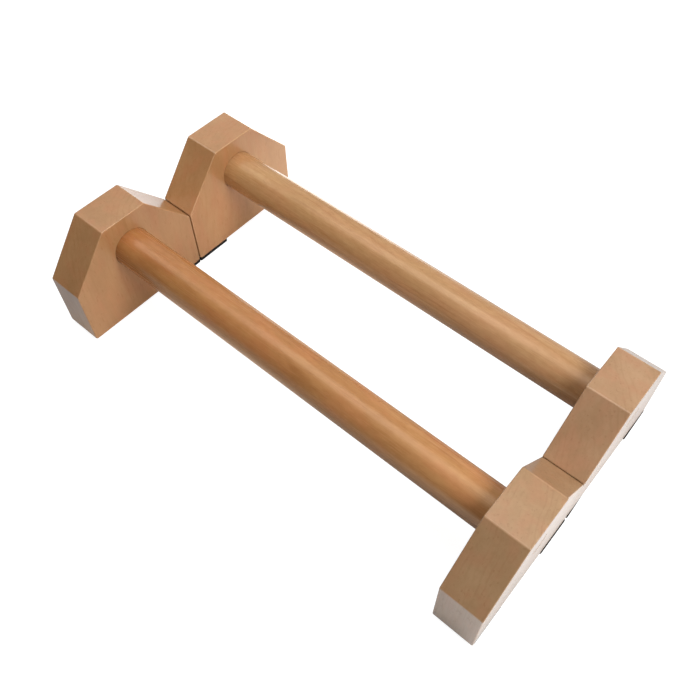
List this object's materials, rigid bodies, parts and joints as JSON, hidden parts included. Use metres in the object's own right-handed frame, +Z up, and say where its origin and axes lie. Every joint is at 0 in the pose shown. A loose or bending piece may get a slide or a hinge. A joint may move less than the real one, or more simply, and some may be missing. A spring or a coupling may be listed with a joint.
{
  "type": "parallel bars",
  "caption": "Low free-standing wooden parallel bars: round beech bars between six-sided end blocks on thin rubber pads, for push-ups, dips and handstands.",
  "frame": {"origin": "on the floor, under the middle of the pair as it stands side by side", "axes": "+X along both bars, towards the right end blocks; +Y from the near unit to the far unit; +Z up from the floor"},
  "size_m": [0.4414, 0.2486, 0.1061],
  "materials": {
    "beech_block": "clear satin varnish over planed beech",
    "beech_bar": "clear satin varnish over turned beech",
    "beech_plug": "clear satin varnish",
    "rubber_pad": "matt black",
    "zinc_steel": "bright zinc plated",
    "brass_insert": "as machined"
  },
  "bodies": {
    "near_unit": {"near_bar": "beech_bar", "near_left_block": "beech_block", "near_left_plug": "beech_plug", "near_left_screw": "zinc_steel", "near_left_washer": "zinc_steel", "near_left_insert": "brass_insert", "near_left_front_pad": "rubber_pad", "near_left_back_pad": "rubber_pad", "near_right_block": "beech_block", "near_right_plug": "beech_plug", "near_right_screw": "zinc_steel", "near_right_washer": "zinc_steel", "near_right_insert": "brass_insert", "near_right_front_pad": "rubber_pad", "near_right_back_pad": "rubber_pad"},
    "far_unit": {"far_bar": "beech_bar", "far_left_block": "beech_block", "far_left_plug": "beech_plug", "far_left_screw": "zinc_steel", "far_left_washer": "zinc_steel", "far_left_insert": "brass_insert", "far_left_front_pad": "rubber_pad", "far_left_back_pad": "rubber_pad", "far_right_block": "beech_block", "far_right_plug": "beech_plug", "far_right_screw": "zinc_steel", "far_right_washer": "zinc_steel", "far_right_insert": "brass_insert", "far_right_front_pad": "rubber_pad", "far_right_back_pad": "rubber_pad"}
  },
  "joints": [
    {"name": "spacing_slide", "type": "slide", "parent": "near_unit", "child": "far_unit", "axis": [0, 1, 0], "range_m": [0, 0.45]}
  ]
}
